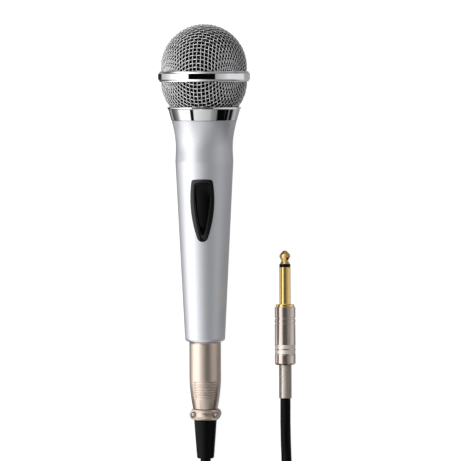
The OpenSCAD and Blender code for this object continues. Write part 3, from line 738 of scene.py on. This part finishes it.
tip = [(0, 18.2), (STEM_R, 18.2), (STEM_R, RING_TO), (2.95, RING_TO, 0.15), (2.05, 24.35, 0.5),
       (2.05, 24.9, 0.5), (2.9, 26.6, 0.7), (3.1, 27.4, 0.5), (2.85, 28.4, 0.8), (1.1, 30.3, 0.3),
       (0.9, PLUG_L, 0.2), (0, PLUG_L)]
piece("jack_tip_turned", *lathe(rounded(tip, 6), 96), PLUG, "cord_set", "gold_plate", ["jack_tip"], sharp=30)
ring = [(STEM_R, RING_FROM), (SLEEVE_R, RING_FROM), (SLEEVE_R, RING_TO), (STEM_R, RING_TO)]
piece("jack_insulator_ring", *lathe(ring, 96), PLUG, "cord_set", "jack_ring", ["jack_insulator"], sharp=30)
sleeve = rounded([
    (0, -FLANGE_T), (FLANGE_R, -FLANGE_T), (FLANGE_R, 0, 0.25), (SLEEVE_R, 0, 0.2),
    (SLEEVE_R, RING_FROM, 0.08), (STEM_R, RING_FROM), (STEM_R, 18), (0, 18)])
piece("jack_sleeve_turned", *lathe(sleeve, 128), PLUG, "cord_set", "gold_plate", ["jack_sleeve"], sharp=30)


def knurled(angle, r, z):
    """Two fine diamond-knurled bands."""
    if r < BARREL_R - 0.05 or not any(low <= z <= high for low, high in KNURLS):
        return r
    turns = 60 * angle / math.pi
    return r - 0.04 - 0.05 * abs(math.sin(turns + z * 9)) * abs(math.sin(turns - z * 9))


barrel_bore, tail_bore = 4.6, 3.65
barrel = [(barrel_bore, -FLANGE_T), (BARREL_R, -FLANGE_T, 0.25)]
for top, foot in BARREL_GROOVES:
    barrel += [(BARREL_R, top, 0.1), (GROOVED_R, top), (GROOVED_R, foot), (BARREL_R, foot, 0.1)]
barrel = rounded(barrel)
barrel += [(BARREL_R, z) for z in between(-21.0, -28.6, 76)]
barrel += rounded([(BARREL_R, -29, 0.01), (BARREL_R, BARREL_END + 0.9, 0.2),
                   (BARREL_R - 0.9, BARREL_END, 0.2), (tail_bore, BARREL_END, 0.1), (tail_bore, -31.3),
                   (barrel_bore, -30.8)])
piece("jack_barrel_turned", *lathe(barrel, 240, knurled), PLUG, "cord_set", "bright_nickel", ["jack_barrel"],
      sharp=30)

SPRING_R, SPRING_BORE, WINDING, WINDING_H = 3.6, 2.95, 0.72, 0.05


def wound(angle, r, z):
    """The outside of a tight helix."""
    if r < SPRING_R:
        return r
    return r - WINDING_H * (1 - math.cos(2 * math.pi * z / WINDING - angle))


spring_end = BARREL_END - SPRING_L
spring = [(SPRING_R, z) for z in between(BARREL_END, spring_end, round(SPRING_L / WINDING) * 8)]
spring += [(SPRING_R, spring_end), (SPRING_BORE, spring_end), (SPRING_BORE, BARREL_END)]
piece("jack_spring_wound", *lathe(spring, 72, wound), PLUG, "cord_set", "spring_steel", ["jack_spring"],
      sharp=50)


# ---- Tie round the coil ----

def strap():
    """A hook-and-loop strap round the bundle."""
    low_r, high_r, height = TURN_RADII[0] - CORD_R, TURN_RADII[-1] + CORD_R, 2 * CORD_R + PITCH * (LAYERS - 1)
    corners = [(low_r, 0), (high_r, 0), (high_r, height), (low_r, height)]
    outer = rounded([(r + (TIE_T if r > coil_middle_r else -TIE_T), z + (TIE_T if z else 0), 3.2)
                     for r, z in corners], 8)
    inner_loop = rounded([(r, z + (0 if z else TIE_T), 2.2) for r, z in corners], 8)
    verts, faces, n = [], [], len(outer)
    for k in range(9):
        a = math.radians(TIE_AT - TIE_HALF + 2 * TIE_HALF * k / 8)
        for loop, extra in ((outer, 0.12 * math.sin(math.pi * k / 8)), (inner_loop, 0)):
            for r, z in loop:
                out = r + (extra if r > coil_middle_r else -extra)
                verts.append((coil_mid.x + out * math.cos(a), coil_mid.y + out * math.sin(a), z))
    for k in range(8):
        for loop in (0, 1):
            base = k * 2 * n + loop * n
            faces += [[base + i, base + (i + 1) % n, base + 2 * n + (i + 1) % n, base + 2 * n + i]
                      for i in range(n)]
    for k in (0, 8):
        base = k * 2 * n
        faces += [[base + i, base + (i + 1) % n, base + n + (i + 1) % n, base + n + i] for i in range(n)]
    return verts, faces


piece("cord_tie_strap", *strap(), WORLD, "cord_set", "tie_cloth", ["cord_tie"], sharp=40)

cord = piece("cord", *tube(route, CORD_R, 24), WORLD, "cord_set", "cord_jacket",
             ["cord_mic_end", "cord_coil", "cord_plug_end"])


# ---- Materials ----

class Nodes:
    """Short ways to build a shader tree."""

    def __init__(self, tree):
        self.tree = tree

    def put(self, socket, value):
        """Links a socket to another node's output, or gives it a plain value."""
        if isinstance(value, bpy.types.NodeSocket):
            self.tree.links.new(value, socket)
        else:
            socket.default_value = value

    def add(self, kind, **sockets):
        """A node of a kind, with its sockets' values by name."""
        node = self.tree.nodes.new("ShaderNode" + kind)
        for name, value in sockets.items():
            self.put(node.inputs[name.replace("_", " ")], value)
        return node

    def math(self, operation, *values):
        node = self.tree.nodes.new("ShaderNodeMath")
        node.operation = operation
        for socket, value in zip(node.inputs, values):
            self.put(socket, value)
        return node.outputs[0]

    def vector_math(self, operation, **sockets):
        node = self.tree.nodes.new("ShaderNodeVectorMath")
        node.operation = operation
        for name, value in sockets.items():
            self.put(node.inputs[name], value)
        return node

    def dot(self, vector, axis):
        node = self.vector_math("DOT_PRODUCT", Vector=vector)
        self.put(node.inputs[1], axis)
        return node.outputs["Value"]

    def mix(self, share, a, b):
        """Colour a, giving way to colour b by a share."""
        node = self.tree.nodes.new("ShaderNodeMix")
        node.data_type = "RGBA"
        for socket, value in zip((node.inputs[0], node.inputs[6], node.inputs[7]), (share, a, b)):
            self.put(socket, value)
        return node.outputs[2]

    def ramp(self, value, stops):
        """A value's tone, where stops are (position, grey or colour)."""
        node = self.tree.nodes.new("ShaderNodeValToRGB")
        steps = node.color_ramp.elements
        while len(steps) < len(stops):
            steps.new(0.5)
        for step, (at, tone) in zip(steps, stops):
            step.position = at
            step.color = (*tone, 1) if hasattr(tone, "__len__") else (tone, tone, tone, 1)
        self.tree.links.new(value, node.inputs[0])
        return node.outputs[0]


def material(name, colour, metallic, roughness, grain=0.3, vary=0.04, bump=0.0, bump_grain=0.15, tint=0.06,
             coat=0.0, coat_rough=0.05, specular=0.5, build=None):
    """A principled material whose colour, roughness and surface vary on its grains' scales, in millimetres.

    build(n, place, colour, rough, fine) may change its colour and roughness, and gives its relief's height.
    """
    made = bpy.data.materials.new(name)
    made.use_nodes = True
    tree = made.node_tree
    tree.nodes.clear()
    n = Nodes(tree)
    place = n.add("TexCoord").outputs["Object"]
    coarse = n.add("TexNoise", Vector=place, Scale=1 / (grain * 6 * MM), Detail=3.0, Roughness=0.6)
    fine = n.add("TexNoise", Vector=place, Scale=1 / (bump_grain * MM), Detail=4.0, Roughness=0.6)
    coarse, fine = coarse.outputs["Fac"], fine.outputs["Fac"]
    shade = [tuple(c * (1 - tint) for c in colour), tuple(min(1, c * (1 + tint)) for c in colour)]
    colour_out = n.ramp(coarse, [(0.3, shade[0]), (0.7, shade[1])])
    rough_out = n.ramp(fine, [(0.3, max(0.0, roughness - vary)), (0.7, min(1.0, roughness + vary))])
    height = fine
    if build:
        colour_out, rough_out, height = build(n, place, colour_out, rough_out, fine)
    surface = n.add("BsdfPrincipled", Base_Color=colour_out, Metallic=metallic, Roughness=rough_out)
    surface.inputs["Specular IOR Level"].default_value = specular
    surface.inputs["Coat Weight"].default_value = coat
    surface.inputs["Coat Roughness"].default_value = coat_rough
    if bump:
        relief = n.add("Bump", Strength=1.0, Distance=bump * MM, Height=height)
        tree.links.new(relief.outputs[0], surface.inputs["Normal"])
    out = n.add("OutputMaterial")
    tree.links.new(surface.outputs[0], out.inputs[0])
    return made


def flakes(n, place, colour, rough, fine):
    """Metal flakes in the silver paint."""
    cells = n.add("TexVoronoi", Vector=place, Scale=1 / (0.12 * MM)).outputs["Color"]
    glint = n.math("MULTIPLY_ADD", n.add("SeparateColor", Color=cells).outputs[0], 0.16, 0.92)
    return n.vector_math("SCALE", Vector=colour, Scale=glint).outputs[0], rough, fine


def turned_lines(n, place, colour, rough, fine):
    """Fine tool lines round a turned part that lies along y."""
    y = n.add("SeparateXYZ", Vector=place).outputs["Y"]
    lines = n.add("TexNoise", Scale=1.0, Detail=2.0)
    lines.noise_dimensions = "1D"
    n.put(lines.inputs["W"], n.math("MULTIPLY", y, 1 / (0.12 * MM)))
    return colour, rough, lines.outputs[0]


def barrel_lines_and_painted_knurl_sheen(n, place, colour, rough, fine):
    """Tool lines, and duller knurled bands, painted lighter to stand in for the light their facets catch."""
    colour, rough, lines = turned_lines(n, place, colour, rough, fine)
    y = n.add("SeparateXYZ", Vector=place).outputs["Y"]
    for low, high in KNURLS:
        band = n.math("COMPARE", y, flange + (low + high) / 2 * MM, (high - low) / 2 * MM)
        # painted sheen: the bands' lighter colour stands in for light caught by the knurl's facets
        colour = n.mix(band, colour, (0.79, 0.73, 0.69, 1))
        rough = n.mix(band, rough, (0.52, 0.52, 0.52, 1))
    return colour, rough, lines


def foam_cells(n, place, colour, rough, fine):
    """Open cells."""
    cells = n.add("TexVoronoi", Vector=place, Scale=1 / (0.8 * MM)).outputs["Distance"]
    return colour, rough, cells


def strap_loops(n, place, colour, rough, fine):
    """The small loops of the strap's cloth."""
    loops = n.add("TexVoronoi", Vector=place, Scale=1 / (0.5 * MM)).outputs["Distance"]
    return colour, rough, loops


LOOKS = {
    "wire_mesh": material("wire_mesh", (0.70, 0.70, 0.71), 1.0, 0.12, bump=0.001, vary=0.04),
    "chrome_trim": material("chrome_trim", (0.66, 0.66, 0.675), 1.0, 0.022, vary=0.01, tint=0.01, grain=2),
    "foam": material("foam", (0.004, 0.004, 0.004), 0.0, 0.95, bump=0.5, specular=0.05, build=foam_cells),
    "inner_plastic": material("inner_plastic", (0.05, 0.05, 0.052), 0.0, 0.45, bump=0.01),
    "clear_film": material("clear_film", (0.8, 0.78, 0.7), 0.0, 0.2, bump=0.01),
    "copper_wire": material("copper_wire", (0.72, 0.36, 0.18), 1.0, 0.25, bump=0.02, build=turned_lines),
    "plain_steel": material("plain_steel", (0.56, 0.56, 0.57), 1.0, 0.28, bump=0.006),
    "soft_rubber": material("soft_rubber", (0.02, 0.02, 0.02), 0.0, 0.6, bump=0.02),
    "lead_sheath": material("lead_sheath", (0.42, 0.04, 0.03), 0.0, 0.4, bump=0.01),
    "silver_paint": material("silver_paint", (0.60, 0.61, 0.64), 0.74, 0.37, bump=0.0015, bump_grain=0.1,
                             tint=0.012, grain=4, coat=0.2, coat_rough=0.3, build=flakes),
    "gloss_black": material("gloss_black", (0.001, 0.001, 0.0013), 0.0, 0.08, vary=0.03, bump=0.0005, grain=1,
                            specular=0.45),
    "slider_black": material("slider_black", (0.001, 0.001, 0.0013), 0.0, 0.09, vary=0.04, bump=0.0005,
                             specular=0.10),
    "satin_nickel": material("satin_nickel", (0.55, 0.465, 0.40), 1.0, 0.28, vary=0.05, bump=0.004,
                             bump_grain=0.12, tint=0.03),
    "gold_plate": material("gold_plate", (0.80, 0.53, 0.20), 1.0, 0.11, vary=0.02, bump=0.0003,
                           build=turned_lines),
    "spring_steel": material("spring_steel", (0.45, 0.40, 0.365), 1.0, 0.22, vary=0.05, bump=0.002),
    "boot_rubber": material("boot_rubber", (0.001, 0.001, 0.0012), 0.0, 0.2, vary=0.05, bump=0.004,
                            bump_grain=0.25, specular=0.09),
    "cord_jacket": material("cord_jacket", (0.001, 0.001, 0.0012), 0.0, 0.32, vary=0.06, bump=0.005,
                            bump_grain=0.3, specular=0.08),
    "tie_cloth": material("tie_cloth", (0.016, 0.016, 0.018), 0.0, 0.85, bump=0.12, build=strap_loops),
    "jack_ring": material("jack_ring", (0.002, 0.0012, 0.001), 0.0, 0.2, bump=0.001, specular=0.12),
    # the barrel's knurled bands carry a painted sheen, a lighter colour for the light their facets catch
    "bright_nickel": material("bright_nickel", (0.52, 0.445, 0.405), 1.0, 0.1, vary=0.02, bump=0.0004,
                              build=barrel_lines_and_painted_knurl_sheen),
}


def dress(obj, slot):
    obj.data.materials.clear()
    obj.data.materials.append(LOOKS[slot])


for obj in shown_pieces():
    if "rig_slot" in obj:
        dress(obj, obj["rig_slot"])
for row in frame["record"]["subparts"]:
    dress(frame["nodes"][row["node"]], row["material_slot"])


# ---- Studio: lit from the left, open to the right, and dark above, where the camera is ----

BRIGHTEST = 2.6
# Each surround is the light round the microphone's axis, as (degrees from straight up, brightness), right of
# it positive, for one range of directions between the tail and the head.
ABOVE = [(-180, 0.03), (-137, 0.03), (-129, 0.75), (-112, 0.9), (-98, 1.2), (-78, 1.8), (-70, 2.4),
         (-44, 2.3), (-39.5, 1.5), (-38.2, 0.003), (28, 0.003), (29.5, 0.5), (36, 0.64), (54, 0.84),
         (63, 1.04), (117, 1.04), (124, 0.5), (180, 0.45)]
TOWARDS_TAIL = [(-180, 0.1), (-155, 0.15), (-140, 0.55), (-125, 0.85), (-106, 1.6), (-100, 2.6), (-60, 2.6),
                (-48, 2.1), (-30, 1.55), (-18, 1.1), (-8, 0.62), (4, 0.32), (10, 0.2), (36, 0.15), (41, 0.38),
                (50, 0.55), (62, 0.66), (78, 0.72), (98, 0.5), (112, 0.3), (130, 0.34), (180, 0.4)]
# Mirrored by the connector's waisted end and the sides of the collar.
NEAR_TAIL = [(-180, 0.03), (-142, 0.08), (-126, 0.1), (-113, 0.26), (-103, 0.48), (-95, 1.3), (-84, 1.8),
             (-60, 2.3), (-48, 2.0), (-30, 1.4), (-10, 0.8), (0, 0.5), (20, 0.4), (60, 0.5), (77, 0.5),
             (81, 0.003), (91, 0.003), (93, 0.2), (97, 0.2), (99, 0.01), (110, 0.01), (118, 0.5), (130, 0.6),
             (180, 0.45)]
LOW_TAIL = [(-180, 0.03), (-140, 0.05), (-113, 0.35), (-104, 1.4), (-51, 1.6), (-49, 0.01), (-39, 0.01),
            (-36.5, 1.15), (-8, 0.9), (21, 0.67), (27, 0.45), (46, 0.25), (49, 0.003), (91, 0.003), (93, 0.2),
            (97, 0.2), (99, 0.01), (110, 0.01), (118, 0.6), (130, 0.8), (180, 0.6)]
PAST_BAND = [(-180, 0.5), (-152, 0.5), (-122, 0.28), (-102, 0.15), (-92, 0.2), (-84, 0.4), (-76, 1.6),
             (-57, 1.9), (-45, 1.8), (-37, 1.35), (-30, 0.7), (-22, 0.17), (13, 0.16), (20, 0.28), (24, 0.34),
             (36, 0.47), (48, 0.53), (60, 0.64), (73, 0.78), (80, 0.7), (86, 0.27), (92, 0.27), (100, 0.45),
             (106, 0.49), (126, 0.36), (180, 0.3)]
AT_ENDS = [(-180, 0.5), (-150, 0.4), (-142, 0.15), (-114, 0.15), (-104, 0.5), (-95, 1.8), (-86, 2.6),
           (-60, 2.5), (-20, 1.15), (20, 0.55), (60, 0.3), (110, 0.28), (140, 0.35), (180, 0.5)]
# From the tail to the head: where each surround takes over, in degrees that a direction leans to the head.
ZONES = [(LOW_TAIL, -50, -42), (NEAR_TAIL, -25, -23), (TOWARDS_TAIL, -13, -11.5), (ABOVE, -3, -1.5),
         (PAST_BAND, 1.4, 2.4), (AT_ENDS, 15, 19)]


def studio():
    """Lights everything by the surrounds, and shows the camera plain white."""
    world = bpy.data.worlds.new("studio")
    bpy.context.scene.world = world
    world.use_nodes = True
    tree = world.node_tree
    tree.nodes.clear()
    n = Nodes(tree)
    way = n.add("TexCoord").outputs["Generated"]
    side = Vector((1, 0, 0))
    x, y, z = (n.dot(way, axis) for axis in (side, head_way, side.cross(head_way)))
    across = n.math("MULTIPLY_ADD", n.math("ARCTAN2", x, z), 1 / (2 * math.pi), 0.5)
    along = n.math("MULTIPLY_ADD", n.math("ARCSINE", y), 1 / math.pi, 0.5)

    def surround(tones):
        return n.ramp(across, [(deg / 360 + 0.5, v / BRIGHTEST) for deg, v in tones])

    tone = surround(AT_ENDS)
    for tones, start, full in ZONES:
        share = n.ramp(along, [(start / 180 + 0.5, 0), (full / 180 + 0.5, 1)])
        tone = n.mix(share, tone, surround(tones))
    lit = n.add("Background", Color=tone, Strength=BRIGHTEST)
    plain = n.add("Background", Color=(1, 1, 1, 1), Strength=1.0)
    shown = n.add("MixShader")
    tree.links.new(n.add("LightPath").outputs["Is Camera Ray"], shown.inputs[0])
    tree.links.new(lit.outputs[0], shown.inputs[1])
    tree.links.new(plain.outputs[0], shown.inputs[2])
    tree.links.new(shown.outputs[0], n.add("OutputWorld").inputs[0])


def floor():
    """White paper, bright enough to photograph as white, with only a trace of shadow."""
    mesh = bpy.data.meshes.new("floor")
    size, height = 4.0, -0.05 * MM
    corners = ((-size, -size), (size, -size), (size, size), (-size, size))
    mesh.from_pydata([(x, y, height) for x, y in corners], [], [(0, 1, 2, 3)])
    obj = bpy.data.objects.new("floor", mesh)
    bpy.context.scene.collection.objects.link(obj)
    obj.visible_glossy = obj.visible_diffuse = False
    paper = bpy.data.materials.new("paper")
    paper.use_nodes = True
    tree = paper.node_tree
    tree.nodes.clear()
    n = Nodes(tree)
    speckle = n.add("TexNoise", Vector=n.add("TexCoord").outputs["Object"], Scale=400.0).outputs["Fac"]
    matt = n.add("BsdfDiffuse", Color=n.ramp(speckle, [(0.3, 0.20), (0.7, 0.21)]))
    glow = n.add("Emission", Color=(1, 1, 1, 1), Strength=0.94)
    total = n.add("AddShader")
    tree.links.new(matt.outputs[0], total.inputs[0])
    tree.links.new(glow.outputs[0], total.inputs[1])
    tree.links.new(total.outputs[0], n.add("OutputMaterial").inputs[0])
    mesh.materials.append(paper)


studio()
floor()
bpy.context.scene.view_settings.view_transform = "Standard"
